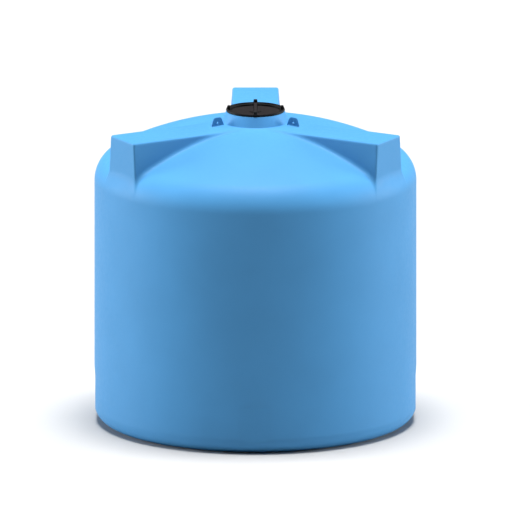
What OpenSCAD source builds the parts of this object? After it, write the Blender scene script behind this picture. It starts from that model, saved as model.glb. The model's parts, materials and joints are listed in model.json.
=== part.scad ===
// Closed vertical water tank: one hollow moulding with a domed top, three shoulder lugs,
// lifting eyes and flat fitting pads, a bayonet manhole lid with a vent, and, at the rear,
// a float-valve inlet, an overflow and a lever outlet valve.
// The moulding is drawn as a floor, a rounded edge, a foot, a wall, a dome, a collar and three
// eyes that touch each other, and the lid as a disc and a skirt.
// Origin: centre of the base, on the ground. +Z is up, -Y is the front, +Y is the rear.

/* [Tank body] */
// Outside diameter of the straight wall
tank_d = 2430; // [2420:5:2440]
// Wall thickness of the moulding
wall = 10; // [9:0.5:11]
// Height at which the straight wall ends
wall_top = 1854; // [1848:2:1860]
// Rounding of the lower edge
base_round = 130; // [120:5:140]
// Rounding of the shoulder
shoulder_round = 238; // [234:1:240]
// Height that the dome would reach on the axis
dome_top = 2321; // [2318:1:2324]

/* [Shoulder lugs] */
// Height of the flat tops
lug_top = 2300; // [2298:1:2302]
// Width across a flat top
lug_w = 346; // [340:2:352]
// Distance of the end faces from the axis
lug_end = 1164; // [1158:2:1170]
// Draft of the sides, in degrees
lug_draft = 4.8; // [4:0.2:5.6]

/* [Lifting eyes] */
// Distance of an eye from the axis
eye_r = 332; // [330:1:334]
// Radial length at the foot
eye_foot = 115; // [105:5:120]
// Radial length near the top
eye_crest = 60; // [55:5:65]
// Height above the lug top
eye_h = 77; // [74:1:80]
// Plate thickness
eye_t = 22; // [20:1:24]
// Height of the hole above the lug top
eye_hole_h = 33; // [32:1:36]
// Hole diameter
eye_hole_d = 18; // [16:1:20]

/* [Fitting pads] */
// Depth of a flat pad below the round wall
pad_depth = 6; // [5:0.5:7]
// Height at which a pad begins to fade out
pad_top = 363; // [355:2:371]
// Height over which it fades out
pad_fade = 58; // [50:2:66]

/* [Neck] */
// Outside radius where the collar leaves the dome
neck_foot_r = 256; // [254:1:258]
// Outside radius of the lip
neck_lip_r = 223; // [222:1:225]
// Height of the lip
neck_top = 2388; // [2386:1:2390]
// Clear radius of the manhole
manhole_r = 198; // [197:0.5:199]

/* [Lid] */
// Outside radius of the flange
lid_r = 220; // [219:0.5:221]
// Height of the rim above the lip
rim_h = 17; // [16:0.5:18]
// Height of the grips above the lip
grip_h = 42; // [38:1:44]
// Width of a grip
grip_w = 32; // [30:1:34]
// Depth of the dish below the rim
dish_depth = 24; // [22:0.5:25]
// Sweep of one bayonet tooth, in degrees
tooth_sweep = 40; // [36:1:41]

/* [Vent] */
// Radius of the cap
vent_cap_r = 47; // [44:1:49]
// Radius of the threaded tube
vent_r = 20; // [18:0.5:21]

/* [Rear fittings] */
// Height of the outlet axis
outlet_z = 190; // [180:5:220]
// Height of the inlet axis
inlet_z = 2205; // [2200:1:2212]
// Sideways distance of the inlet and of the overflow from the middle
top_fitting_x = 80; // [76:1:84]
// Height of the overflow axis
overflow_z = 2165; // [2155:5:2175]
// Pipe thread radius of the outlet and overflow
big_thread_r = 29.8; // [29:0.1:30]
// Pipe thread radius of the inlet
small_thread_r = 20.9; // [20:0.1:21]

/* [Float valve] */
// Length of the arm from pivot to float centre
arm_l = 420; // [380:10:440]
// Radius of the float
float_r = 60; // [50:1:62]
// Swing of the arm, from hanging to level, in degrees
arm_swing = 40; // [38:1:40]

/* [Outlet valve] */
// Radius of the ball
ball_r = 34; // [33.5:0.1:34.2]
// Radius of the waterway
waterway_r = 23; // [22:0.5:23]
// Length of the lever from the stem
lever_l = 170; // [150:5:190]

/* [Hidden] */
$fn = 96;

// Tank body: the dome is the sphere about the axis that the shoulder rounding touches.
tank_r = tank_d / 2;
shoulder_c = [tank_r - shoulder_round, wall_top];
dome_rise = dome_top - wall_top;
dome_r = (shoulder_c.x * shoulder_c.x + dome_rise * dome_rise - shoulder_round * shoulder_round)
    / (2 * (dome_rise - shoulder_round));
dome_c = [0, dome_top - dome_r];
dome_edge_a = atan2(shoulder_c.y - dome_c.y, shoulder_c.x);
lug_angles = [90, 210, 330];
pad_angles = [0, 90, 180, 270];
pad_face = tank_r - pad_depth;
lug_foot_z = 1900;
lug_start = 262;
edge_round = 12;
eye_plinth = 6;

// Planes on which the pieces of the moulding meet
base_joint = pad_top + pad_fade + 10;
dome_joint = wall_top - 4;
collar_joint = dome_top - 7;

// Neck and lid: four teeth in the neck, and four on the lid that pass between them.
tooth_count = 4;
tooth_gap_sweep = 90 - tooth_sweep - 6;
tooth_h = 10;
neck_tooth_z = neck_top - 36;
lid_tooth_z = neck_tooth_z - 3 - tooth_h;
tooth_tip_r = manhole_r - 8;
skirt_r = tooth_tip_r - 2.5;
skirt_t = 6.5;
skirt_foot = lid_tooth_z - 3;
stand_off = 0.3;
gasket_z = neck_top + stand_off;
gasket_r = [204, 214];
gasket_h = 5.3;
flange_z = gasket_z + stand_off;
rim_top = neck_top + rim_h;
rim_in_r = 208;
ledge_z = flange_z + 6;
floor_t = 6;
floor_top = rim_top - dish_depth;
dish_foot = floor_top - floor_t;
dish_r = manhole_r - 1.5;
dish_in_r = dish_r - 6;
grip_top = neck_top + grip_h;
grip_in_r = 190;

// Vent
vent_bore_r = vent_r - 5;
vent_foot = dish_foot - 12;
vent_flange_t = 2.8;

// Bulkhead fittings
seal_t = 4;
flange_t = 8;
hex_top = 24;
spigot_top = 46;
fitting_inside = 34;
nut_t = 14;
inlet_bore_r = 13;
thread_gap = 0.1;

// Float valve, along the inlet axis: 0 is the lug's end face and minus is into the tank.
plunger_r = 10;
running_gap = 0.06;
valve_r = 16;
seat_at = -52;
pivot_at = -92;
pivot_drop = 22;
body_end = -114;
finger_r = 5.2;
finger_rest = arm_swing / 2;
finger_travel = 2 * pivot_drop * sin(finger_rest);
finger_at = pivot_at - pivot_drop * sin(finger_rest);
washer_front = seat_at - finger_travel - 0.6;
washer_t = 4;
plunger_l = 46;
pin_r = 3;
rod_r = 4;
head_r = 8;

// Outlet valve, along the outlet axis: 0 is the pad's face and plus is away from the tank.
valve_in = 25;
socket_end = 47;
ball_at = 84;
seat_reach = 26;
seat_l = 10;
chamber_r = 36;
barrel_r = 46;
barrel_end = 118;
tail_hex_end = 132;
tail_end = 158;
stem_r = 8;
bonnet_h = 64;
packing_h = 8;
gland_h = 12;
lever_z = bonnet_h + gland_h + 1;
lever_t = 4;

// Points on a circular arc from angle a0 to a1, leaving out the first few if asked.
function arc(c, r, a0, a1, n, first = 0) =
    [for (i = [first:n]) c + r * [cos(a0 + (a1 - a0) * i / n), sin(a0 + (a1 - a0) * i / n)]];

// Half outline of the tank, moved inwards by an inset.
function tank_outline(inset) = concat(
    [[0, inset]],
    arc([tank_r - base_round, base_round], base_round - inset, -90, 0, 8),
    arc(shoulder_c, shoulder_round - inset, 0, dome_edge_a, 8),
    arc(dome_c, dome_r - inset, dome_edge_a, 90, 8, 1)
);

// Outline of a lug across its length, moved inwards by an inset.
function lug_outline(inset) =
    let (top = lug_top - inset,
         half = lug_w / 2 - inset,
         round_r = edge_round - inset / 2,
         foot = half + (top - lug_foot_z) * tan(lug_draft))
    concat([[-foot, lug_foot_z], [foot, lug_foot_z]],
        arc([half - round_r, top - round_r], round_r, lug_draft, 90, 3),
        arc([-half + round_r, top - round_r], round_r, 90, 180 - lug_draft, 3));

// The part of the children between two heights.
module band(z0, z1) {
    half_w = tank_r + 100;
    intersection() {
        children();
        translate([-half_w, -half_w, z0]) cube([2 * half_w, 2 * half_w, z1 - z0]);
    }
}

module ring(r_in, r_out, z0, z1) {
    translate([0, 0, z0]) difference() {
        cylinder(r = r_out, h = z1 - z0);
        translate([0, 0, -1]) cylinder(r = r_in, h = z1 - z0 + 2);
    }
}

// A ring whose outside is a hexagon; hex_r is the radius at its corners.
module hex_ring(r_in, hex_r, z0, z1) {
    translate([0, 0, z0]) difference() {
        cylinder(r = hex_r, h = z1 - z0, $fn = 6);
        translate([0, 0, -1]) cylinder(r = r_in, h = z1 - z0 + 2);
    }
}

// Equal teeth around the axis, reaching from r_in to r_out.
module teeth(r_in, r_out, z0, sweep, start) {
    for (i = [0:tooth_count - 1])
        rotate([0, 0, start + i * 360 / tooth_count - sweep / 2])
            rotate_extrude(angle = sweep)
                translate([r_in, z0]) square([r_out - r_in, tooth_h]);
}

// Fittings are drawn along +Z and turned to point to the rear, with their -Y side up.
module at_rear(x, y, z) {
    translate([x, y, z]) rotate([-90, 0, 0]) children();
}

module at_inlet() {
    at_rear(-top_fitting_x, lug_end, inlet_z) children();
}

module at_overflow() {
    at_rear(top_fitting_x, lug_end, overflow_z) children();
}

module at_outlet() {
    at_rear(0, pad_face, outlet_z) children();
}

// ---- Tank moulding ----

module lug_block(inset) {
    translate([lug_start + inset, 0, 0]) rotate([90, 0, 90])
        linear_extrude(lug_end - lug_start - 2 * inset) polygon(lug_outline(inset));
}

// A plate with rounded upper corners, standing on its plinth on the dome.
module lifting_eye(a) {
    crest_r = 14;
    half_top = eye_crest / 2;
    color("skyblue") rotate([0, 0, a]) difference() {
        translate([eye_r, eye_t / 2, 0]) rotate([90, 0, 0]) linear_extrude(eye_t)
            polygon(concat(
                [[-eye_foot / 2, lug_top + eye_plinth], [eye_foot / 2, lug_top + eye_plinth]],
                arc([half_top - crest_r + 6, lug_top + eye_h - crest_r], crest_r, 25, 90, 4),
                arc([-half_top + crest_r - 6, lug_top + eye_h - crest_r], crest_r, 90, 155, 4)));
        translate([eye_r, eye_t, lug_top + eye_hole_h]) rotate([90, 0, 0])
            cylinder(d = eye_hole_d, h = 2 * eye_t);
    }
}

module eye_foot_block() {
    depth = 5;
    translate([eye_r - eye_foot / 2, -eye_t / 2, lug_top - depth])
        cube([eye_foot, eye_t, depth + eye_plinth]);
}

// The slab outside a flat pad. Its upper end leans out, so the flat ends in an arch.
module pad_slab(inset) {
    slab_w = 400;
    out = tank_r + 40;
    face = pad_face - inset;
    lean = (out - face) / pad_depth * pad_fade;
    translate([0, slab_w / 2, 0]) rotate([90, 0, 0]) linear_extrude(slab_w)
        polygon([[face, -10], [out, -10], [out, pad_top + lean], [face, pad_top]]);
}

module neck_solid() {
    taper = (neck_foot_r - neck_lip_r) / (neck_top - lug_top - 12);
    foot_z = lug_top - 4;
    lip_round = 6;
    rotate_extrude() polygon(concat(
        [[0, foot_z], [neck_foot_r + 16 * taper, foot_z]],
        arc([neck_lip_r - lip_round, neck_top - lip_round], lip_round, 20, 90, 4),
        [[0, neck_top]]));
}

module neck_hollow() {
    rotate_extrude() polygon([
        [0, lug_top - 50], [236, lug_top - 50], [232, neck_tooth_z - 14],
        [manhole_r, neck_tooth_z - 2], [manhole_r, neck_top + 20], [0, neck_top + 20]]);
}

module fitting_hole(thread_r) {
    translate([0, 0, -60]) cylinder(r = thread_r + 5.5, h = 80);
}

module base_shell() {
    difference() {
        rotate_extrude() polygon(tank_outline(0));
        difference() {
            rotate_extrude() polygon(tank_outline(wall));
            for (a = pad_angles) rotate([0, 0, a]) pad_slab(wall);
        }
        for (a = pad_angles) rotate([0, 0, a]) pad_slab(0);
        at_outlet() fitting_hole(big_thread_r);
    }
}

module tank_floor() {
    color("skyblue") cylinder(r = tank_r - base_round, h = wall);
}

module tank_edge() {
    color("skyblue") difference() {
        band(0, base_round) base_shell();
        translate([0, 0, -1]) cylinder(r = tank_r - base_round, h = base_round);
    }
}

module tank_foot() {
    color("skyblue") band(base_round, base_joint) base_shell();
}

module tank_wall() {
    color("skyblue") ring(tank_r - wall, tank_r, base_joint, dome_joint);
}

module tank_dome() {
    color("skyblue") band(dome_joint, collar_joint) difference() {
        union() {
            rotate_extrude() polygon(tank_outline(0));
            for (a = lug_angles) rotate([0, 0, a]) {
                lug_block(0);
                eye_foot_block();
            }
            neck_solid();
        }
        rotate_extrude() polygon(tank_outline(wall));
        for (a = lug_angles) rotate([0, 0, a]) lug_block(wall);
        neck_hollow();
        at_inlet() fitting_hole(small_thread_r);
        at_overflow() fitting_hole(big_thread_r);
    }
}

module tank_collar() {
    color("skyblue") union() {
        band(collar_joint, neck_top + 1) difference() {
            neck_solid();
            neck_hollow();
        }
        teeth(tooth_tip_r, manhole_r + 4, neck_tooth_z, tooth_gap_sweep, 45);
    }
}

// ---- Lid and vent ----

module lid_gasket() {
    color("dimgray") ring(gasket_r[0] + stand_off, gasket_r[1] - stand_off,
        gasket_z, gasket_z + gasket_h - stand_off);
}

module lid() {
    groove_top = gasket_z + gasket_h;
    grip_root = groove_top + 0.4;
    bar_w = grip_w - 6;
    color([0.12, 0.12, 0.13]) difference() {
        union() {
            rotate_extrude() polygon([
                [0, dish_foot], [dish_r, dish_foot], [dish_r, flange_z], [gasket_r[0], flange_z],
                [gasket_r[0], groove_top], [gasket_r[1], groove_top], [gasket_r[1], flange_z],
                [lid_r, flange_z], [lid_r, rim_top - 3], [lid_r - 3, rim_top],
                [rim_in_r, rim_top], [rim_in_r - 1.5, ledge_z + 3], [dish_in_r + 2.5, ledge_z],
                [dish_in_r, floor_top], [0, floor_top]]);
            intersection() {
                cylinder(r = lid_r - 0.5, h = grip_top);
                for (a = [0:90:270]) rotate([0, 0, a])
                    translate([grip_in_r, -grip_w / 2, grip_root])
                        cube([lid_r - grip_in_r, grip_w, grip_top - grip_root]);
            }
            for (a = [90, 270]) rotate([0, 0, a])
                translate([vent_cap_r + 2, -bar_w / 2, floor_top - 1])
                    cube([dish_r - vent_cap_r - 2, bar_w, dish_depth + 1]);
        }
        translate([0, 0, dish_foot - 1]) cylinder(r = vent_r + 0.3, h = floor_t + 10);
    }
}

module lid_skirt() {
    color([0.12, 0.12, 0.13]) union() {
        ring(skirt_r - skirt_t, skirt_r, skirt_foot, dish_foot);
        teeth(skirt_r - 2, manhole_r - 1.5, lid_tooth_z, tooth_sweep, 0);
    }
}

module vent_body() {
    flange_r = 32;
    color([0.16, 0.16, 0.17]) union() {
        ring(vent_bore_r, vent_r, vent_foot, floor_top + 1);
        ring(vent_bore_r, flange_r, floor_top, floor_top + vent_flange_t);
    }
}

module vent_nut() {
    color([0.2, 0.2, 0.21]) hex_ring(vent_r + thread_gap, 31, dish_foot - 9, dish_foot);
}

module vent_screen() {
    hole_r = 1.5;
    pitch = 5;
    color("silver") difference() {
        translate([0, 0, vent_foot + 3]) cylinder(r = vent_bore_r, h = 1.2);
        for (n = [0:2], i = [0:max(0, 6 * n - 1)])
            rotate([0, 0, n == 0 ? 0 : i * 60 / n])
                translate([n * pitch, 0, vent_foot]) cylinder(r = hole_r, h = 10, $fn = 16);
    }
}

// A low hollow cap on four posts, with air passing in under its skirt. A bar to turn it by
// stands on it, in line with the lid's bar.
module vent_cap() {
    skirt_gap = 3;
    top = floor_top + 10;
    plate_t = 3;
    bar_w = grip_w - 6;
    post_foot = floor_top + vent_flange_t;
    color([0.12, 0.12, 0.13]) union() {
        translate([0, 0, top - plate_t]) cylinder(r = vent_cap_r, h = plate_t);
        ring(vent_cap_r - 3, vent_cap_r, floor_top + skirt_gap, top);
        for (a = [45:90:315]) rotate([0, 0, a]) translate([26, 0, post_foot])
            cylinder(r = 3, h = top - 1 - post_foot, $fn = 24);
        intersection() {
            cylinder(r = vent_cap_r, h = rim_top);
            translate([-bar_w / 2, -vent_cap_r, top - 1])
                cube([bar_w, 2 * vent_cap_r, rim_top - top + 1]);
        }
    }
}

// ---- Bulkhead fittings ----

module bulkhead(thread_r, bore_r) {
    body_r = thread_r + 4;
    flange_r = thread_r + 26;
    color([0.14, 0.14, 0.15]) union() {
        rotate_extrude() polygon([
            [bore_r, -fitting_inside], [body_r, -fitting_inside], [body_r, seal_t],
            [flange_r, seal_t], [flange_r, seal_t + flange_t - 2],
            [flange_r - 2, seal_t + flange_t], [thread_r, seal_t + flange_t],
            [thread_r, spigot_top - 2], [thread_r - 2, spigot_top], [bore_r, spigot_top]]);
        hex_ring(bore_r, thread_r + 10, seal_t + flange_t - 1, hex_top);
    }
}

module bulkhead_seal(thread_r) {
    color([0.25, 0.25, 0.25]) ring(thread_r + 4.3, thread_r + 22, 0, seal_t);
}

module bulkhead_nut(thread_r) {
    body_r = thread_r + 4;
    color([0.2, 0.2, 0.21]) hex_ring(body_r + thread_gap, body_r + 18, -wall - nut_t, -wall);
}

module inlet_fitting() {
    at_inlet() bulkhead(small_thread_r, inlet_bore_r);
}

module inlet_seal() {
    at_inlet() bulkhead_seal(small_thread_r);
}

module inlet_locknut() {
    at_inlet() bulkhead_nut(small_thread_r);
}

module overflow_fitting() {
    at_overflow() bulkhead(big_thread_r, waterway_r);
}

module overflow_seal() {
    at_overflow() bulkhead_seal(big_thread_r);
}

module overflow_locknut() {
    at_overflow() bulkhead_nut(big_thread_r);
}

module overflow_screen() {
    hole_r = 2;
    pitch = 6.5;
    color("silver") at_overflow() difference() {
        translate([0, 0, 30]) cylinder(r = waterway_r, h = 1.2);
        for (n = [0:3], i = [0:max(0, 6 * n - 1)])
            rotate([0, 0, n == 0 ? 0 : i * 60 / n])
                translate([n * pitch, 0, 25]) cylinder(r = hole_r, h = 10, $fn = 16);
    }
}

module outlet_fitting() {
    at_outlet() bulkhead(big_thread_r, waterway_r);
}

module outlet_seal() {
    at_outlet() bulkhead_seal(big_thread_r);
}

module outlet_locknut() {
    at_outlet() bulkhead_nut(big_thread_r);
}

// ---- Float valve ----

module float_valve_body() {
    tail_r = inlet_bore_r - thread_gap;
    tail_end = -16;
    body_front = -fitting_inside - 1;
    orifice_r = 6;
    ear_t = 6;
    slot_w = 11;
    color("goldenrod") at_inlet() difference() {
        union() {
            translate([0, 0, body_end]) cylinder(r = tail_r, h = tail_end - body_end);
            translate([0, 0, body_end]) cylinder(r = valve_r, h = body_front - body_end);
            translate([0, 0, body_front - 11]) cylinder(r = 21, h = 10, $fn = 6);
            translate([-slot_w / 2 - ear_t, 0, pivot_at - 10])
                cube([slot_w + 2 * ear_t, pivot_drop + 8, 20]);
        }
        translate([0, 0, body_end - 1]) cylinder(r = plunger_r + running_gap, h = seat_at - body_end + 1);
        translate([0, 0, seat_at - 1]) cylinder(r = orifice_r, h = 60);
        translate([-slot_w / 2, 0, body_end - 1]) cube([slot_w, 60, pivot_at + 18 - body_end]);
        translate([-20, pivot_drop, pivot_at]) rotate([0, 90, 0]) cylinder(r = pin_r, h = 40);
    }
}

module float_pivot_pin() {
    color("silver") at_inlet() translate([-13, pivot_drop, pivot_at]) rotate([0, 90, 0])
        cylinder(r = pin_r, h = 26);
}

// Everything on the arm is drawn about the pivot, with the arm hanging at its rest angle.
module at_arm() {
    at_inlet() translate([0, pivot_drop, pivot_at]) rotate([arm_swing, 0, 0]) children();
}

module float_arm() {
    head_t = 10;
    finger_t = 8;
    shank_w = 3.8;
    color("goldenrod") difference() {
        union() {
            at_arm() {
                translate([-head_t / 2, 0, 0]) rotate([0, 90, 0]) cylinder(r = head_r, h = head_t);
                translate([0, 0, -arm_l + float_r - 30]) cylinder(r = rod_r, h = arm_l - float_r + 30);
            }
            at_inlet() translate([0, pivot_drop, pivot_at]) rotate([finger_rest, 0, 0]) {
                translate([-finger_t / 2, -pivot_drop, -shank_w / 2]) cube([finger_t, pivot_drop, shank_w]);
                translate([-finger_t / 2, -pivot_drop, 0]) rotate([0, 90, 0])
                    cylinder(r = finger_r, h = finger_t);
            }
        }
        at_inlet() translate([-20, pivot_drop, pivot_at]) rotate([0, 90, 0])
            cylinder(r = pin_r + 0.05, h = 40);
    }
}

module float_ball() {
    color("orange") at_arm() translate([0, 0, -arm_l]) difference() {
        union() {
            sphere(r = float_r);
            translate([0, 0, float_r - 6]) cylinder(r = 11, h = 14);
        }
        translate([0, 0, float_r - 30]) cylinder(r = rod_r, h = 60);
    }
}

module float_nut() {
    color("goldenrod") at_arm() hex_ring(rod_r, 9, -arm_l + float_r + 8, -arm_l + float_r + 14);
}

module plunger() {
    slot_w = 9.4;
    slot_half = 6;
    slot_roof = 6.5;
    front = washer_front - washer_t;
    color("gold") at_inlet() difference() {
        translate([0, 0, front - plunger_l]) cylinder(r = plunger_r, h = plunger_l);
        translate([-slot_w / 2, -slot_roof, finger_at - slot_half])
            cube([slot_w, slot_roof + plunger_r + 1, 2 * slot_half]);
    }
}

module plunger_washer() {
    color([0.2, 0.2, 0.2]) at_inlet() translate([0, 0, washer_front - washer_t])
        cylinder(r = plunger_r - 1, h = washer_t);
}

// ---- Outlet valve ----

module valve_body() {
    seat_room = ball_at - seat_reach;
    color("goldenrod") at_outlet() difference() {
        union() {
            translate([0, 0, valve_in]) cylinder(r = 41, h = 24, $fn = 6);
            translate([0, 0, socket_end]) cylinder(r = barrel_r, h = barrel_end - socket_end);
            translate([0, 0, ball_at]) rotate([90, 0, 0]) cylinder(r = 18, h = bonnet_h);
        }
        translate([0, 0, valve_in - 1]) cylinder(r = big_thread_r + thread_gap, h = socket_end - valve_in + 1);
        translate([0, 0, socket_end - 1]) cylinder(r = waterway_r + 1, h = 20);
        translate([0, 0, seat_room]) cylinder(r = chamber_r, h = barrel_end);
        translate([0, 0, ball_at + seat_reach]) cylinder(r = chamber_r + 3, h = barrel_end);
        translate([0, 0, ball_at]) rotate([90, 0, 0]) cylinder(r = stem_r + 0.05, h = bonnet_h + 1);
        translate([0, -bonnet_h + packing_h, ball_at]) rotate([90, 0, 0])
            cylinder(r = stem_r + 5, h = packing_h + 1);
    }
}

module valve_tailpiece() {
    plug_r = chamber_r + 3 - thread_gap;
    color("goldenrod") at_outlet() union() {
        ring(waterway_r + 1, plug_r, ball_at + seat_reach, barrel_end + 1);
        hex_ring(waterway_r + 1, 46, barrel_end, tail_hex_end);
        ring(waterway_r + 1, big_thread_r, tail_hex_end - 1, tail_end);
    }
}

module valve_seats() {
    color("white") at_outlet() difference() {
        for (z = [ball_at - seat_reach, ball_at + seat_reach - seat_l])
            ring(waterway_r, chamber_r, z, z + seat_l);
        translate([0, 0, ball_at]) sphere(r = ball_r + 0.3);
    }
}

// The ball is turned about its waterway, which lies across the pipe while the valve is shut.
module valve_ball() {
    slot_d = 5;
    bore_r = waterway_r - 1;
    edge_a = acos(bore_r / ball_r);
    color("silver") at_outlet() translate([0, 0, ball_at]) difference() {
        rotate([0, 90, 0]) rotate_extrude()
            polygon(arc([0, 0], ball_r, -edge_a, edge_a, 20));
        translate([-4, -ball_r - 1, -10]) cube([8, slot_d + 1, 20]);
    }
}

module valve_stem() {
    tang_foot = ball_r - 5;
    shaft_foot = ball_r + 1;
    square_foot = bonnet_h + gland_h;
    square_w = 11;
    top = lever_z + lever_t + 12;
    color("gold") at_outlet() translate([0, 0, ball_at]) rotate([90, 0, 0]) union() {
        translate([-3.8, -6, tang_foot]) cube([7.6, 12, shaft_foot - tang_foot + 1]);
        translate([0, 0, shaft_foot]) cylinder(r = stem_r, h = square_foot - shaft_foot);
        translate([-square_w / 2, -square_w / 2, square_foot - 1])
            cube([square_w, square_w, lever_z + lever_t - square_foot + 1]);
        translate([0, 0, lever_z]) cylinder(r = 4.8, h = top - lever_z);
    }
}

module stem_packing() {
    color("white") at_outlet() translate([0, 0, ball_at]) rotate([90, 0, 0])
        ring(stem_r + 0.05, stem_r + 5, bonnet_h - packing_h, bonnet_h);
}

module gland_nut() {
    color("goldenrod") at_outlet() translate([0, 0, ball_at]) rotate([90, 0, 0])
        hex_ring(stem_r + 0.3, 20, bonnet_h, bonnet_h + gland_h - 1);
}

// The lever is one bent strip: a flat over the stem, a rise and a flat for the hand.
module valve_lever() {
    half_w = 13;
    rise = 20;
    bend_a = 26;
    bend_b = 56;
    square_w = 11;
    t = lever_t;
    color("lightgray") at_outlet() translate([0, 0, ball_at]) rotate([90, 0, 0]) difference() {
        translate([0, half_w, lever_z]) rotate([90, 0, 0]) linear_extrude(2 * half_w)
            polygon([[-20, 0], [bend_a, 0], [bend_b, rise], [lever_l, rise],
                [lever_l, rise + t], [bend_b - 2, rise + t], [bend_a - 2, t], [-20, t]]);
        translate([-square_w / 2, -square_w / 2, lever_z - 5]) cube([square_w, square_w, 20]);
    }
}

module lever_grip() {
    half_w = 13;
    rise = 20;
    skin = 2.5;
    grip_from = 72;
    color("royalblue") at_outlet() translate([0, 0, ball_at]) rotate([90, 0, 0]) difference() {
        translate([grip_from, -half_w - skin, lever_z + rise - skin])
            cube([lever_l - grip_from + skin, 2 * (half_w + skin), lever_t + 2 * skin]);
        translate([grip_from - 1, -half_w, lever_z + rise])
            cube([lever_l - grip_from + 1, 2 * half_w, lever_t]);
    }
}

module lever_nut() {
    color("silver") at_outlet() translate([0, 0, ball_at]) rotate([90, 0, 0])
        hex_ring(4.8, 10, lever_z + lever_t, lever_z + lever_t + 8);
}

tank_floor();
tank_edge();
tank_foot();
tank_wall();
tank_dome();
tank_collar();
lifting_eye(lug_angles[0]);  // rear_lifting_eye
lifting_eye(lug_angles[1]);  // left_lifting_eye
lifting_eye(lug_angles[2]);  // right_lifting_eye
lid_gasket();
lid();
lid_skirt();
vent_body();
vent_nut();
vent_screen();
vent_cap();
inlet_fitting();
inlet_seal();
inlet_locknut();
float_valve_body();
float_pivot_pin();
float_arm();
float_ball();
float_nut();
plunger();
plunger_washer();
overflow_fitting();
overflow_seal();
overflow_locknut();
overflow_screen();
outlet_fitting();
outlet_seal();
outlet_locknut();
valve_body();
valve_tailpiece();
valve_seats();
valve_ball();
valve_stem();
stem_packing();
gland_nut();
valve_lever();
lever_grip();
lever_nut();
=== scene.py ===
import json
import math

import bpy
import numpy as np
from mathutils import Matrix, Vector


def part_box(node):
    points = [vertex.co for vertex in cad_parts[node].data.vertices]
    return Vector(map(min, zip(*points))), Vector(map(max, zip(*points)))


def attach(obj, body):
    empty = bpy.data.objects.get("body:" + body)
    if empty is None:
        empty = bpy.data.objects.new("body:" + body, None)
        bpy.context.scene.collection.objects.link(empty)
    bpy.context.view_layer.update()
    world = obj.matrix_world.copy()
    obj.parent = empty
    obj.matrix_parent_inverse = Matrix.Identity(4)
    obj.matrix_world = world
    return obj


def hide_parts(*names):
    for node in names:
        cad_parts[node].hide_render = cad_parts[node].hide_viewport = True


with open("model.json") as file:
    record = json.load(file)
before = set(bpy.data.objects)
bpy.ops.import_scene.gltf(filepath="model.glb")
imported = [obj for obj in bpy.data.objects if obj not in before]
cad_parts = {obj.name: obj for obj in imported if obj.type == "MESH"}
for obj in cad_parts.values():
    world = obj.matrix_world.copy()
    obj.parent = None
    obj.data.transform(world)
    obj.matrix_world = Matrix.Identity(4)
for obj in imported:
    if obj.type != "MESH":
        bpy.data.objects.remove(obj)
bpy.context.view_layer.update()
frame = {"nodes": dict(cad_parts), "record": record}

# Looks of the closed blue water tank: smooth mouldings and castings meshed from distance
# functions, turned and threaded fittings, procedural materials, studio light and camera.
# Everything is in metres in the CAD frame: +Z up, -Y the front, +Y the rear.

MM = 0.001


# ---------------------------------------------------------------- distance functions

def soft_min(a, b, k):
    """Union of two solids with a fillet; k is about 1.2 times its radius."""
    h = np.maximum(k - np.abs(a - b), 0.0) / k
    return np.minimum(a, b) - h * h * k * 0.25


def soft_max(a, b, k):
    """Intersection of two solids with a rounded edge."""
    return -soft_min(-a, -b, k)


def nearest_angle(x, y, first, count):
    """Angle from the nearest of `count` equal directions, the first of them in degrees from X."""
    step = 2.0 * math.pi / count
    angle = np.arctan2(y, x) - math.radians(first)
    return angle - step * np.round(angle / step)


def fold(x, y, first, count):
    """Coordinates along and across the nearest of `count` directions around the axis."""
    angle = nearest_angle(x, y, first, count)
    r = np.hypot(x, y)
    return r * np.cos(angle), r * np.sin(angle)


def slab(value, low, high):
    """Distance of a coordinate from the range low to high."""
    return np.maximum(low - value, value - high)


def ring_sdf(r, z, r_in, r_out, z0, z1, k):
    """A ring of rectangular section with its edges rounded."""
    return soft_max(slab(r, r_in, r_out), slab(z, z0, z1), k)


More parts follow.
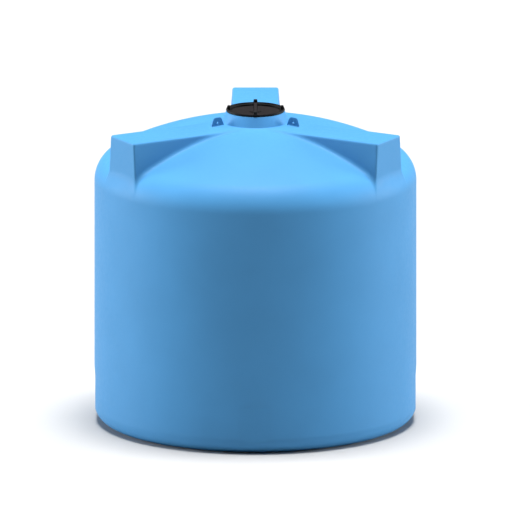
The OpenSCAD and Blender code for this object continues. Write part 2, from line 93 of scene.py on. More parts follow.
def surface_net(sdf, low, high, cell, steps=5):
    """Mesh of the surface sdf = 0: vertices (projected onto it), quads and normals."""
    low = np.array(low, float)
    count = np.ceil((np.array(high, float) - low) / cell).astype(int) + 1
    axes = [low[i] + cell * np.arange(count[i]) for i in range(3)]
    grid = np.meshgrid(*axes, indexing="ij", sparse=True)
    dist = np.broadcast_to(sdf(*grid), tuple(count)).astype(np.float32)
    inside = dist < 0
    corners = [(a, b, c) for a in (0, 1) for b in (0, 1) for c in (0, 1)]
    total = np.zeros([n - 1 for n in count], np.uint8)
    for a, b, c in corners:
        total += inside[a:count[0] - 1 + a, b:count[1] - 1 + b, c:count[2] - 1 + c]
    active = (total > 0) & (total < 8)
    cells = np.argwhere(active)
    index = np.full(active.shape, -1, np.int64)
    index[active] = np.arange(len(cells))
    place = np.zeros((len(cells), 3))
    hits = np.zeros(len(cells))
    value = {c: dist[cells[:, 0] + c[0], cells[:, 1] + c[1], cells[:, 2] + c[2]] for c in corners}
    for start in corners:
        for axis in range(3):
            if start[axis]:
                continue
            end = tuple(1 if i == axis else start[i] for i in range(3))
            cross = (value[start] < 0) != (value[end] < 0)
            t = value[start][cross] / (value[start][cross] - value[end][cross])
            point = np.tile(np.array(start, float), (len(t), 1))
            point[:, axis] = t
            place[cross] += point
            hits[cross] += 1
    verts = low + (cells + place / hits[:, None]) * cell
    quads = []
    for axis in range(3):
        b, c = (axis + 1) % 3, (axis + 2) % 3
        first = [slice(None)] * 3
        second = [slice(None)] * 3
        first[axis], second[axis] = slice(None, -1), slice(1, None)
        change = inside[tuple(first)] != inside[tuple(second)]
        p = np.argwhere(change)
        p = p[(p[:, b] > 0) & (p[:, b] < count[b] - 1) & (p[:, c] > 0) & (p[:, c] < count[c] - 1)]
        step_b, step_c = np.eye(3, dtype=int)[b], np.eye(3, dtype=int)[c]
        q = np.stack([index[tuple((p - s).T)] for s in (0 * step_b, step_b, step_b + step_c, step_c)], 1)
        outward = inside[tuple(p.T)]
        q[~outward] = q[~outward][:, ::-1]
        quads.append(q)
    verts, normals = settle(sdf, verts, cell, steps)
    return verts, np.concatenate(quads), normals


def gradient(sdf, p, eps):
    """Central differences of the distance at the points p."""
    g = np.empty_like(p)
    for i in range(3):
        d = np.zeros(3)
        d[i] = eps
        g[:, i] = (sdf(*(p + d).T) - sdf(*(p - d).T)) / (2 * eps)
    return g


def settle(sdf, p, cell, steps):
    """Moves points onto the surface along its gradient, and gives the normals there."""
    eps = cell * 0.04
    for _ in range(steps):
        g = gradient(sdf, p, eps)
        move = sdf(*p.T)[:, None] * g / np.maximum((g * g).sum(1), 0.2)[:, None]
        p = p - np.clip(move, -cell * 0.6, cell * 0.6)
    g = gradient(sdf, p, eps)
    return p, g / np.maximum(np.linalg.norm(g, axis=1), 1e-9)[:, None]


# ---------------------------------------------------------------- mesh building

def arc(cx, cy, r, a0, a1, n):
    """Points on a circular arc, angles in degrees."""
    return [(cx + r * math.cos(math.radians(a0 + (a1 - a0) * i / n)),
             cy + r * math.sin(math.radians(a0 + (a1 - a0) * i / n))) for i in range(n + 1)]


def turned(profile, segments, radius=None, loop=False):
    """Surface of revolution of (r, z) points about Z; radius(angle, r, z) may reshape it."""
    angles = 2 * math.pi * np.arange(segments) / segments
    verts, rings = [], []
    for r, z in profile:
        if r < 1e-7:
            rings.append([len(verts)])
            verts.append((0.0, 0.0, z))
            continue
        rr = np.full(segments, r) if radius is None else radius(angles, r, z)
        rings.append(list(range(len(verts), len(verts) + segments)))
        verts += list(zip(rr * np.cos(angles), rr * np.sin(angles), np.full(segments, z)))
    faces = []
    pairs = list(zip(rings[:-1], rings[1:])) + ([(rings[-1], rings[0])] if loop else [])
    for a, b in pairs:
        for i in range(segments):
            j = (i + 1) % segments
            if len(a) == 1:
                faces.append((a[0], b[j], b[i]))
            elif len(b) == 1:
                faces.append((a[i], a[j], b[0]))
            else:
                faces.append((a[i], a[j], b[j], b[i]))
    return np.array(verts), faces


def rounded(corners, steps=4):
    """Closed outline of (r, z, rounding) corners, each eased by a curve."""
    out = []
    for i, (r, z, ease) in enumerate(corners):
        p = np.array((r, z))
        before = np.array(corners[i - 1][:2]) - p
        after = np.array(corners[(i + 1) % len(corners)][:2]) - p
        if ease == 0:
            out.append((r, z))
            continue
        start = p + before / np.linalg.norm(before) * ease
        end = p + after / np.linalg.norm(after) * ease
        for t in np.linspace(0, 1, steps + 1):
            out.append(tuple((1 - t) ** 2 * start + 2 * t * (1 - t) * p + t * t * end))
    return out


def hexagon(angle, corner_r):
    """Radius of a hexagon, with corners at 0, 60, 120 degrees and so on."""
    sixth = math.pi / 3
    return corner_r * math.cos(sixth / 2) / np.cos(np.mod(angle, sixth) - sixth / 2)


def machined(corners, segments=96, hexes=(), threads=()):
    """Turned ring with hexagons (z0, z1, corner_r) and threads (z0, z1, r, pitch, depth)."""
    outline = []
    loop = rounded(corners)
    for p, q in zip(loop, loop[1:] + loop[:1]):
        outline.append(p)
        for z0, z1, r0, pitch, depth in threads:
            if abs(p[0] - r0) < 1e-6 and abs(q[0] - r0) < 1e-6 and abs(q[1] - p[1]) > pitch:
                count = int(abs(q[1] - p[1]) / pitch * 6)
                outline += [(r0, z) for z in np.linspace(p[1], q[1], count + 1)[1:-1]]

    def radius(angle, r, z):
        rr = np.full(len(angle), r)
        for z0, z1, corner_r in hexes:
            if z0 <= z <= z1 and r > 0.8 * corner_r:
                rr = np.minimum(rr, hexagon(angle, corner_r))
        for z0, z1, r0, pitch, depth in threads:
            if z0 < z < z1 and abs(r - r0) < 1e-6:
                phase = np.mod(z / pitch - angle / (2 * math.pi), 1.0)
                fade = min(1.0, (z - z0) / pitch, (z1 - z) / pitch)
                rr = r0 - depth * fade * (1.0 - np.abs(2.0 * phase - 1.0))
        return rr

    return turned(outline, segments, radius, loop=True)


def to_rear(points, centre):
    """From a fitting's own axes (+Z out of the tank, -Y up) to the frame."""
    p = np.asarray(points, float)
    return np.stack([p[:, 0] + centre[0], p[:, 2] + centre[1], centre[2] - p[:, 1]], 1)


def piece(name, verts, faces, body, slot, replaced, normals=None, soft_angle=None):
    """A mesh object that rides on a CAD body, takes a slot's material and replaces CAD nodes."""
    mesh = bpy.data.meshes.new(name)
    mesh.from_pydata([tuple(v) for v in np.asarray(verts, float)], [],
                     [tuple(int(i) for i in f) for f in faces])
    mesh.validate()
    mesh.polygons.foreach_set("use_smooth", np.ones(len(mesh.polygons), bool))
    obj = bpy.data.objects.new(name, mesh)
    bpy.context.scene.collection.objects.link(obj)
    if normals is not None:
        mesh.normals_split_custom_set_from_vertices([tuple(n) for n in normals])
    elif soft_angle is not None:
        mesh.set_sharp_from_angle(angle=math.radians(soft_angle))
    mesh.materials.append(MATERIALS[slot])
    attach(obj, body)
    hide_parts(*replaced)


# ---------------------------------------------------------------- materials

class Nodes:
    """A short way to write a material's node tree."""

    def __init__(self, name):
        self.material = bpy.data.materials.new(name)
        self.material.use_nodes = True
        self.tree = self.material.node_tree
        self.shader = self.tree.nodes["Principled BSDF"]
        self.where = self.add("ShaderNodeTexCoord").outputs["Object"]

    def add(self, kind, **inputs):
        node = self.tree.nodes.new(kind)
        for key, value in inputs.items():
            self.put(node, key.replace("_", " "), value)
        return node

    def put(self, node, socket, value):
        if isinstance(value, bpy.types.NodeSocket):
            self.tree.links.new(value, node.inputs[socket])
        else:
            node.inputs[socket].default_value = value

    def noise(self, scale, detail=3.0, roughness=0.5, vector=None):
        node = self.add("ShaderNodeTexNoise", Scale=scale, Detail=detail, Roughness=roughness)
        self.put(node, "Vector", vector or self.where)
        return node.outputs["Fac"]

    def stretch(self, scale):
        node = self.add("ShaderNodeMapping", Vector=self.where)
        node.inputs["Scale"].default_value = scale
        return node.outputs["Vector"]

    def ramp(self, fac, stops):
        node = self.add("ShaderNodeValToRGB", Fac=fac)
        while len(node.color_ramp.elements) < len(stops):
            node.color_ramp.elements.new(0.5)
        for element, (at, color) in zip(node.color_ramp.elements, stops):
            element.position = at
            element.color = (*color, 1.0)
        return node.outputs["Color"]

    def span(self, fac, low, high, at0=0.3, at1=0.7):
        node = self.add("ShaderNodeMapRange", Value=fac)
        for socket, value in (("From Min", at0), ("From Max", at1), ("To Min", low), ("To Max", high)):
            node.inputs[socket].default_value = value
        return node.outputs["Result"]

    def product(self, a, b):
        node = self.add("ShaderNodeMath")
        node.operation = "MULTIPLY"
        self.put(node, 0, a)
        self.put(node, 1, b)
        return node.outputs["Value"]

    def bump(self, height, distance, strength=1.0, under=None):
        node = self.add("ShaderNodeBump", Height=height, Distance=distance, Strength=strength)
        if under is not None:
            self.put(node, "Normal", under)
        return node.outputs["Normal"]

    def finish(self, color, roughness, normal, metallic=0.0, **fixed):
        self.put(self.shader, "Base Color", color)
        self.put(self.shader, "Roughness", roughness)
        self.put(self.shader, "Normal", normal)
        self.shader.inputs["Metallic"].default_value = metallic
        for key, value in fixed.items():
            self.shader.inputs[key.replace("_", " ")].default_value = value
        return self.material


def shade(color, k):
    return tuple(min(1.0, c * k) for c in color)


def tank_plastic():
    """Rotomoulded polyethylene: a satin skin with a fine orange peel and slow waves."""
    n = Nodes("tank_plastic")
    blue = (0.072, 0.275, 0.55)
    color = n.ramp(n.noise(2.2, 4.0), [(0.3, shade(blue, 0.965)), (0.7, shade(blue, 1.02))])
    waves = n.bump(n.noise(7.0, 2.0), 0.0016)
    peel = n.bump(n.noise(420.0, 2.0), 0.00022, 1.0, waves)
    return n.finish(color, n.span(n.noise(30.0), 0.46, 0.56), peel, Specular_IOR_Level=0.10)


def black_plastic(name, tone, grain, low, high):
    """Injection-moulded black plastic with a spark-eroded grain."""
    n = Nodes(name)
    dark, light = (tone,) * 3, (tone * 1.35, tone * 1.35, tone * 1.45)
    color = n.ramp(n.noise(9.0, 4.0), [(0.35, dark), (0.7, light)])
    normal = n.bump(n.noise(grain, 3.0), 0.00012)
    return n.finish(color, n.span(n.noise(60.0), low, high), normal)


def lid_plastic():
    """Black plastic, a lighter and duller grey in patches on faces that look up: most in the dish, a little
    on the other faces that look up.
    """
    n = Nodes("lid_plastic")
    split = n.add("ShaderNodeSeparateXYZ", Vector=n.add("ShaderNodeNewGeometry").outputs["Normal"])
    # A lighter, duller grey in patches on faces whose normal points up, strongest inside the dish.
    faces_up = n.span(split.outputs["Z"], 0.0, 1.0, 0.80, 0.98)
    grey_patches = n.span(n.noise(16.0, 5.0, 0.6), 0.72, 1.0, 0.3, 0.65)
    place = n.add("ShaderNodeVectorMath")
    place.operation = "MULTIPLY"
    n.put(place, 0, n.where)
    n.put(place, 1, (1.0, 1.0, 0.0))
    radius = n.add("ShaderNodeVectorMath")
    radius.operation = "LENGTH"
    n.put(radius, 0, place.outputs["Vector"])
    in_dish = n.span(radius.outputs["Value"], 1.0, 0.25, 0.184, 0.194)
    upward_grey = n.product(n.product(faces_up, grey_patches), in_dish)
    color = n.ramp(upward_grey, [(0.0, (0.0055, 0.0060, 0.0068)), (1.0, (0.017, 0.0142, 0.0150))])
    normal = n.bump(n.noise(650.0, 3.0), 0.00012)
    return n.finish(color, n.span(upward_grey, 0.45, 0.65, 0.0, 1.0), normal, Specular_IOR_Level=0.12)


def seal_rubber():
    n = Nodes("seal_rubber")
    color = n.ramp(n.noise(40.0), [(0.3, (0.016,) * 3), (0.75, (0.032,) * 3)])
    normal = n.bump(n.noise(900.0, 4.0), 0.00015)
    return n.finish(color, n.span(n.noise(80.0), 0.66, 0.84), normal)


def brass():
    """Cast brass: a dull sandy skin that is a little darker in blotches."""
    n = Nodes("brass")
    color = n.ramp(n.noise(28.0, 5.0), [(0.25, (0.42, 0.27, 0.085)), (0.55, (0.64, 0.44, 0.16)),
                                        (0.8, (0.74, 0.55, 0.24))])
    sand = n.bump(n.noise(700.0, 4.0), 0.00016)
    return n.finish(color, n.span(n.noise(45.0, 4.0), 0.26, 0.46), sand, 1.0)


def steel():
    """Bright steel with fine lines along it."""
    n = Nodes("steel")
    lines = n.noise(1.0, 3.0, 0.6, n.stretch((60.0, 2600.0, 2600.0)))
    color = n.ramp(lines, [(0.3, (0.46, 0.47, 0.48)), (0.7, (0.66, 0.67, 0.68))])
    return n.finish(color, n.span(lines, 0.24, 0.40), n.bump(lines, 0.00003), 1.0)


def chrome():
    n = Nodes("ball_chrome")
    color = n.ramp(n.noise(50.0), [(0.3, (0.72, 0.72, 0.74)), (0.7, (0.80, 0.80, 0.82))])
    return n.finish(color, n.span(n.noise(120.0), 0.05, 0.12), n.bump(n.noise(900.0), 0.00001), 1.0)


def coloured_plastic(name, color, low, high, grain=500.0):
    n = Nodes(name)
    tint = n.ramp(n.noise(14.0, 3.0), [(0.3, shade(color, 0.93)), (0.7, shade(color, 1.05))])
    return n.finish(tint, n.span(n.noise(60.0), low, high), n.bump(n.noise(grain), 0.00008))


MATERIALS = {
    "tank_plastic": tank_plastic(),
    "lid_plastic": lid_plastic(),
    "black_fitting": black_plastic("black_fitting", 0.009, 900.0, 0.36, 0.52),
    "seal_rubber": seal_rubber(),
    "steel": steel(),
    "brass": brass(),
    "float_plastic": coloured_plastic("float_plastic", (0.80, 0.20, 0.03), 0.22, 0.34),
    "seat_plastic": coloured_plastic("seat_plastic", (0.80, 0.80, 0.77), 0.38, 0.52),
    "ball_chrome": chrome(),
    "grip_vinyl": coloured_plastic("grip_vinyl", (0.03, 0.11, 0.42), 0.30, 0.44, 260.0),
}


# ---------------------------------------------------------------- tank moulding

TANK_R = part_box("tank_wall")[1].x
NECK_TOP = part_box("tank_collar")[1].z
WALL = 10 * MM
WALL_TOP = 1.854
SHOULDER_R = 0.238
DOME_TOP = 2.321
BASE_ROUND = 0.130
LUG_TOP = 2.300
LUG_HALF = 0.173
LUG_END = 1.164
LUG_START = 0.20
LUG_DRAFT = math.radians(4.8)
PAD_FACE = TANK_R - 6 * MM
PAD_TOP = 0.363
PAD_FADE = 0.058
SHOULDER_C = (TANK_R - SHOULDER_R, WALL_TOP)
RISE = DOME_TOP - WALL_TOP
DOME_R = (SHOULDER_C[0] ** 2 + RISE ** 2 - SHOULDER_R ** 2) / (2 * (RISE - SHOULDER_R))
DOME_Z = DOME_TOP - DOME_R
LUG_ANGLES = (90, 210, 330)
BORE_R = 0.198
EDGE_SOFT = 15 * MM
FILLET_SOFT = 34 * MM
PAD_SOFT = 1.6 * MM


def dome_height(r):
    return DOME_Z + math.sqrt(DOME_R ** 2 - r * r)


def tank_sdf(x, y, z):
    """Outer skin of the moulding without its collar and eyes."""
    r = np.hypot(x, y)
    wall = r - TANK_R + 0 * z
    shoulder = np.hypot(r - SHOULDER_C[0], z - SHOULDER_C[1]) - SHOULDER_R
    dome = np.hypot(r, z - DOME_Z) - DOME_R
    past_edge = r * (SHOULDER_C[1] - DOME_Z) < (z - DOME_Z) * SHOULDER_C[0]
    body = np.where(z < WALL_TOP, wall, np.where(past_edge, dome, shoulder))
    foot_c = TANK_R - BASE_ROUND
    foot = np.where(r > foot_c, np.hypot(r - foot_c, np.minimum(z - BASE_ROUND, 0)) - BASE_ROUND, -z)
    body = np.where(z < BASE_ROUND, foot, body)
    along, across = fold(x, y, 90, 3)
    side = ((np.abs(across) - LUG_HALF) * math.cos(LUG_DRAFT)
            + (z - LUG_TOP) * math.sin(LUG_DRAFT))
    lug = soft_max(side, z - LUG_TOP + 0 * along, EDGE_SOFT)
    lug = soft_max(lug, along - LUG_END, EDGE_SOFT)
    lug = np.maximum(lug, LUG_START - along)
    lug = np.maximum(lug, WALL_TOP + 0.04 - z)
    skin = soft_min(body, lug, FILLET_SOFT)
    out, _ = fold(x, y, 0, 4)
    lean = np.maximum(z - PAD_TOP, 0) * (TANK_R - PAD_FACE) / PAD_FADE
    pad = np.where(z < PAD_TOP + 3 * PAD_FADE, out - PAD_FACE - lean, -1.0)
    return soft_max(skin, pad, PAD_SOFT)


def boundary_loops(faces):
    """Rings of vertices along the open edges of a quad mesh."""
    a = faces.ravel()
    b = np.roll(faces, -1, axis=1).ravel()
    directed = set(zip(a.tolist(), b.tolist()))
    after = {p: q for p, q in directed if (q, p) not in directed}
    loops = []
    while after:
        start, at = next(iter(after.items()))
        loop = [start]
        del after[start]
        while at != start:
            loop.append(at)
            at = after.pop(at)
        loops.append(loop)
    return loops


def zip_rings(verts, lower, upper):
    """Triangles between two rings around the axis, both listed anticlockwise from above."""
    def unrolled(ring):
        angle = np.unwrap([math.atan2(verts[i][1], verts[i][0]) for i in ring])
        return np.append(angle, angle[0] + 2 * math.pi)

    def from_zero(ring):
        angle = [math.atan2(verts[i][1], verts[i][0]) % (2 * math.pi) for i in ring]
        at = int(np.argmin(angle))
        return ring[at:] + ring[:at]

    lower, upper = from_zero(lower), from_zero(upper)
    low_a, up_a = unrolled(lower), unrolled(upper)
    faces, i, j = [], 0, 0
    while i < len(lower) or j < len(upper):
        p, q = lower[i % len(lower)], upper[j % len(upper)]
        if j >= len(upper) or (i < len(lower) and low_a[i + 1] <= up_a[j + 1]):
            faces.append((p, lower[(i + 1) % len(lower)], q))
            i += 1
        else:
            faces.append((p, upper[(j + 1) % len(upper)], q))
            j += 1
    return faces


def anticlockwise(verts, ring):
    angle = np.unwrap([math.atan2(verts[i][1], verts[i][0]) for i in ring])
    return ring if angle[-1] > angle[0] else ring[::-1]


def tank_skin(inset, cell, columns, neck_r):
    """One skin of the moulding, open at the neck: vertices, faces, normals and neck ring."""
    def sdf(x, y, z):
        return tank_sdf(x, y, z) + inset

    seam_z = 1.80
    reach = TANK_R + 2.2 * cell
    verts, quads, _ = surface_net(sdf, (-reach, -reach, seam_z),
                                  (reach, reach, LUG_TOP + 4 * cell), cell)
    centre = verts[quads].mean(1)
    quads = quads[np.hypot(centre[:, 0], centre[:, 1]) > neck_r + 0.5 * cell]
    used = np.unique(quads)
    renumber = np.full(len(verts), -1)
    renumber[used] = np.arange(len(used))
    verts, quads = verts[used], renumber[quads]
    loops = [anticlockwise(verts, loop) for loop in boundary_loops(quads)]
    loops.sort(key=lambda loop: verts[loop][:, 2].mean())
    seam, neck = loops[0], loops[-1]
    flat = verts[neck][:, :2]
    verts[neck, :2] = flat / np.linalg.norm(flat, axis=1)[:, None] * (neck_r + 0.4 * cell)
    for _ in range(3):
        verts[neck, 2] -= sdf(*verts[neck].T)
    fade_top = PAD_TOP + PAD_FADE
    stretches = ((seam_z - 0.02, fade_top + 0.03, 26), (fade_top + 0.022, PAD_TOP - 0.02, 14),
                 (PAD_TOP - 0.04, BASE_ROUND + 0.01, 12))
    rows = [(TANK_R - inset, z) for top, bottom, n in stretches for z in np.linspace(top, bottom, n)]
    rows += arc(TANK_R - BASE_ROUND, BASE_ROUND, BASE_ROUND - inset, 0, -90, 22)
    rows += [(r, inset) for r in np.linspace(TANK_R - BASE_ROUND - 0.06, 0.1, 8)] + [(0.0, inset)]
    wall_v, wall_f = turned(rows[::-1], columns)
    rim = np.arange(len(wall_v) - columns, len(wall_v))
    bulge = wall_v[:, 2] > 0.5 * BASE_ROUND * (1 - math.sqrt(0.5))
    wall_v[bulge], _ = settle(sdf, wall_v[bulge], 0.01, 4)
    start = len(verts)
    everything = np.concatenate([verts, wall_v])
    faces = [tuple(q) for q in quads.tolist()]
    faces += [tuple(i + start for i in f) for f in wall_f]
    faces += zip_rings(everything, (rim + start).tolist(), seam)
    normals = gradient(sdf, everything, 2e-4)
    normals /= np.maximum(np.linalg.norm(normals, axis=1), 1e-9)[:, None]
    return everything, faces, normals, neck


def collar_profile(outer_r, inner_r):
    """From the dome outside, over the lip and down the bore to the inner skin."""
    foot_r, foot_z, fillet = 0.256, 2.312, 9 * MM
    lip_r, lip, bore_edge = 0.223, 7 * MM, 3 * MM
    relief_r, relief_foot = 0.232, 2.318
    lean = math.atan2(foot_r - lip_r, NECK_TOP - foot_z)
    out = np.array((math.cos(lean), math.sin(lean)))
    down = np.array((math.sin(lean), -math.cos(lean)))
    top = np.array((lip_r - lip, NECK_TOP - lip)) + lip * out
    centre_z = dome_height(foot_r) + fillet
    run = (top[1] + fillet * out[1] - centre_z) / -down[1]
    centre = top + run * down + fillet * out
    tilt = math.degrees(math.asin(centre[0] / DOME_R))
    points = [(r, dome_height(r)) for r in np.linspace(outer_r, centre[0] + 2 * MM, 4)]
    points += arc(*centre, fillet, -90 - tilt, -180 + math.degrees(lean), 8)
    points += [tuple(top + f * run * down) for f in (0.97, 0.7, 0.4, 0.1, 0.03)]
    points += arc(lip_r - lip, NECK_TOP - lip, lip, math.degrees(lean), 90, 8)
    points += arc(BORE_R + bore_edge, NECK_TOP - bore_edge, bore_edge, 90, 180, 4)
    points += [(BORE_R, NECK_TOP - z * MM) for z in (4, 20, 34)]
    points += arc(BORE_R + 8 * MM, NECK_TOP - 39 * MM, 8 * MM, 180, 230, 3)
    points += [(relief_r, NECK_TOP - 56 * MM), (relief_r + 2 * MM, relief_foot)]
    points += [(inner_r, dome_height(inner_r) - WALL)]
    return points


def vertex_normals(verts, faces):
    """Smooth normals of a mesh, averaged from its faces."""
    mesh = bpy.data.meshes.new("for_normals")
    mesh.from_pydata([tuple(v) for v in verts], [], faces)
    normals = np.empty(len(verts) * 3)
    mesh.vertex_normals.foreach_get("vector", normals)
    bpy.data.meshes.remove(mesh)
    return normals.reshape(-1, 3)


def tank_moulding():
    """Outer skin, collar and inner skin zipped into one closed hollow moulding."""
    outer_r, inner_r, columns = 0.272, 0.236, 256
    outer_v, outer_f, outer_n, outer_neck = tank_skin(0.0, 9 * MM, 480, outer_r)
    inner_v, inner_f, inner_n, inner_neck = tank_skin(WALL, 20 * MM, 240, inner_r)
    collar_v, collar_f = turned(collar_profile(outer_r, inner_r), columns)
    collar_at = len(outer_v)
    inner_at = collar_at + len(collar_v)
    verts = np.concatenate([outer_v, collar_v, inner_v])
    faces = list(outer_f)
    faces += [tuple(i + collar_at for i in f) for f in collar_f]
    faces += [tuple(i + inner_at for i in f)[::-1] for f in inner_f]
    first = list(range(collar_at, collar_at + columns))
    last = list(range(inner_at - columns, inner_at))
    faces += zip_rings(verts, outer_neck, first)
    faces += [f[::-1] for f in zip_rings(verts, [i + inner_at for i in inner_neck], last)]
    collar_n = vertex_normals(collar_v, collar_f)
    collar_n[:columns] = gradient(tank_sdf, collar_v[:columns], 2e-4)
    normals = np.concatenate([outer_n, collar_n, -inner_n])
    piece("tank_moulding", verts, faces, "tank", "tank_plastic",
          ["tank_floor", "tank_edge", "tank_foot", "tank_wall", "tank_dome", "tank_collar"], normals)


# ---------------------------------------------------------------- lifting eyes

EYE_R = 0.332
EYE_FOOT_HALF = 57.5 * MM
EYE_H = 77 * MM
EYE_HOLE_H = 33 * MM
EYE_HOLE_R = 9 * MM
EYE_HALF_T = 11 * MM


def lifting_eye(name, node, angle):
    """A drafted plate with a hole, flowing into the dome; its root is sunk in the wall."""
    c, s = math.cos(math.radians(angle)), math.sin(math.radians(angle))
    lean, draft, crown = math.radians(20), 0.09, 1.5
    plinth, sunk, root, spread = 6 * MM, 0.3 * MM, 5 * MM, 11 * MM

    def sdf(u, v, w):
        """u outwards from the eye's middle, v across it, w above the lug's top."""
        side = (np.abs(u) - EYE_FOOT_HALF) * math.cos(lean) + (w - plinth) * math.sin(lean)
        outline = soft_max(side, w - EYE_H + 0.6 * MM + crown * u * u, 18 * MM)
        plate = soft_max(outline, np.abs(v) - EYE_HALF_T + draft * np.maximum(w, 0), 6 * MM)
        plate = soft_max(plate, EYE_HOLE_R - np.hypot(u, w - EYE_HOLE_H), 1.5 * MM)
        r = EYE_R + u
        skin = tank_sdf(c * r - s * v, s * r + c * v, w + LUG_TOP)
        from_collar = np.clip((u + EYE_FOOT_HALF) / (20 * MM), 0, 1)
        flow = 1 * MM + (spread - 1 * MM) * from_collar
        whole = soft_min(plate, skin + sunk + 4 * MM * (1 - from_collar), flow)
        patch = np.maximum(u - EYE_FOOT_HALF - spread, -u - EYE_FOOT_HALF - 0.5 * MM)
        patch = np.maximum(patch, np.abs(v) - EYE_HALF_T - spread)
        return np.maximum(np.maximum(whole, -(skin + root)), patch)

    reach_u, reach_v = EYE_FOOT_HALF + spread + 4 * MM, EYE_HALF_T + spread + 4 * MM
    verts, faces, normals = surface_net(sdf, (-reach_u, -reach_v, -30 * MM),
                                        (reach_u, reach_v, EYE_H + 4 * MM), 1.7 * MM)
    turn = np.array([(c, -s, 0), (s, c, 0), (0, 0, 1)])
    placed = (verts + (EYE_R, 0, LUG_TOP)) @ turn.T
    piece(name, placed, faces, "tank", "tank_plastic", [node], normals @ turn.T)


# ---------------------------------------------------------------- neck teeth, lid and vent

LID_R = 0.220
LIP_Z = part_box("lid_gasket")[0].z - 0.3 * MM
RIM_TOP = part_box("vent_cap")[1].z
GRIP_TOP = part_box("lid")[1].z
FLOOR_TOP = RIM_TOP - 24 * MM
DISH_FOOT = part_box("lid")[0].z
FLANGE_Z = LIP_Z + 0.6 * MM
LEDGE_Z = FLANGE_Z + 6 * MM
DISH_R = 196.5 * MM
DISH_IN_R = 190.5 * MM
RIM_IN_R = 207.5 * MM
GROOVE_R = (204 * MM, 214 * MM)
SKIRT_R = (181 * MM, 187.5 * MM)
SKIRT_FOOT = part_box("lid_skirt")[0].z
TOOTH_H = 10 * MM
GRIP_HALF_W = 15.5 * MM
BAR_HALF_W = 12.5 * MM
VENT_HOLE_R = 20.3 * MM


def tooth_sdf(r, across_angle, z, r_in, r_out, z0, sweep):
    """A tooth with rounded ends; across_angle is measured from its middle."""
    end = (np.abs(across_angle) - math.radians(sweep / 2)) * r
    return soft_max(soft_max(slab(r, r_in, r_out), slab(z, z0, z0 + TOOTH_H), 3 * MM), end, 4 * MM)


def neck_teeth():
    """Four teeth in the neck's bore, which the lid's teeth turn in under."""
    z0 = LIP_Z - 36 * MM

    def sdf(x, y, z):
        r = np.hypot(x, y)
        return tooth_sdf(r, nearest_angle(x, y, 45, 4), z, 190 * MM, BORE_R + 2 * MM, z0, 44)

    reach = BORE_R + 6 * MM
    verts, faces, normals = surface_net(sdf, (-reach, -reach, z0 - 4 * MM),
                                        (reach, reach, z0 + TOOTH_H + 4 * MM), 1.7 * MM)
    piece("neck_teeth", verts, faces, "tank", "tank_plastic", ["tank_collar"], normals)


def grip_sdf(along, across, z):
    """A grip: a tab with drafted sides, a rounded top and a sloping outer corner."""
    half_w = GRIP_HALF_W - 0.05 * (z - RIM_TOP)
    tab = soft_max(np.abs(across) - half_w, z - GRIP_TOP + 0.3 * MM, 8 * MM)
    outer = (along - LID_R + 1 * MM) * 0.94 + (z - RIM_TOP) * 0.34
    tab = soft_max(tab, soft_max(DISH_IN_R - along, outer, 6 * MM), 6 * MM)
    return soft_max(tab, LEDGE_Z - 1 * MM - z, 2 * MM)


def lid_sdf(x, y, z):
    """Dished disc with a high rim, four grips, a bar, and a toothed skirt with ribs below."""
    r = np.hypot(x, y)
    flange = ring_sdf(r, z, -1.0, LID_R, FLANGE_Z, RIM_TOP, 3.5 * MM)
    dish = soft_max(r - DISH_R, slab(z, DISH_FOOT, FLANGE_Z + 8 * MM), 3 * MM)
    solid = soft_min(flange, dish, 2 * MM)
    ledge = LEDGE_Z + 0.1 * np.maximum(r - DISH_IN_R, 0)
    upper = soft_max(r - RIM_IN_R, ledge - z, 3 * MM)
    lower = soft_max(r - DISH_IN_R, FLOOR_TOP - z, 4 * MM)
    solid = soft_max(solid, -soft_min(upper, lower, 2 * MM), 2.5 * MM)
    along, across = fold(x, y, 0, 4)
    solid = soft_min(solid, grip_sdf(along, across, z), 4 * MM)
    half_w = BAR_HALF_W - 0.06 * (z - RIM_TOP)
    bar = soft_max(np.abs(x) - half_w, slab(z, FLOOR_TOP - 2 * MM, RIM_TOP), 4 * MM)
    bar = soft_max(bar, slab(np.abs(y), 49 * MM, 199 * MM), 3 * MM)
    solid = soft_min(solid, bar, 5 * MM)
    skirt = ring_sdf(r, z, *SKIRT_R, SKIRT_FOOT, DISH_FOOT + 3 * MM, 3 * MM)
    solid = soft_min(solid, skirt, 4 * MM)
    off_tooth = nearest_angle(x, y, 0, 4)
    tooth = tooth_sdf(r, off_tooth, z, 184 * MM, DISH_R, SKIRT_FOOT + 3 * MM, 40)
    solid = soft_min(solid, tooth, 3 * MM)
    out, side = fold(x, y, 22.5, 8)
    rib = np.maximum(slab(out, 36 * MM, 183 * MM), slab(z, DISH_FOOT - 10 * MM, DISH_FOOT + 2 * MM))
    solid = soft_min(solid, np.maximum(np.abs(side) - 2 * MM, rib), 3 * MM)
    groove = ring_sdf(r, z, *GROOVE_R, FLANGE_Z - 1, FLANGE_Z + 5 * MM, 1 * MM)
    solid = soft_max(solid, -groove, 1 * MM)
    return soft_max(solid, VENT_HOLE_R - r + 0 * z, 1.5 * MM)


def lid():
    """The lid with its dish, grips, bar, skirt and teeth as one moulding."""
    reach = LID_R + 6 * MM
    verts, faces, normals = surface_net(lid_sdf, (-reach, -reach, SKIRT_FOOT - 5 * MM),
                                        (reach, reach, GRIP_TOP + 5 * MM), 2.1 * MM)
    piece("lid_moulding", verts, faces, "lid", "lid_plastic", ["lid", "lid_skirt"], normals)


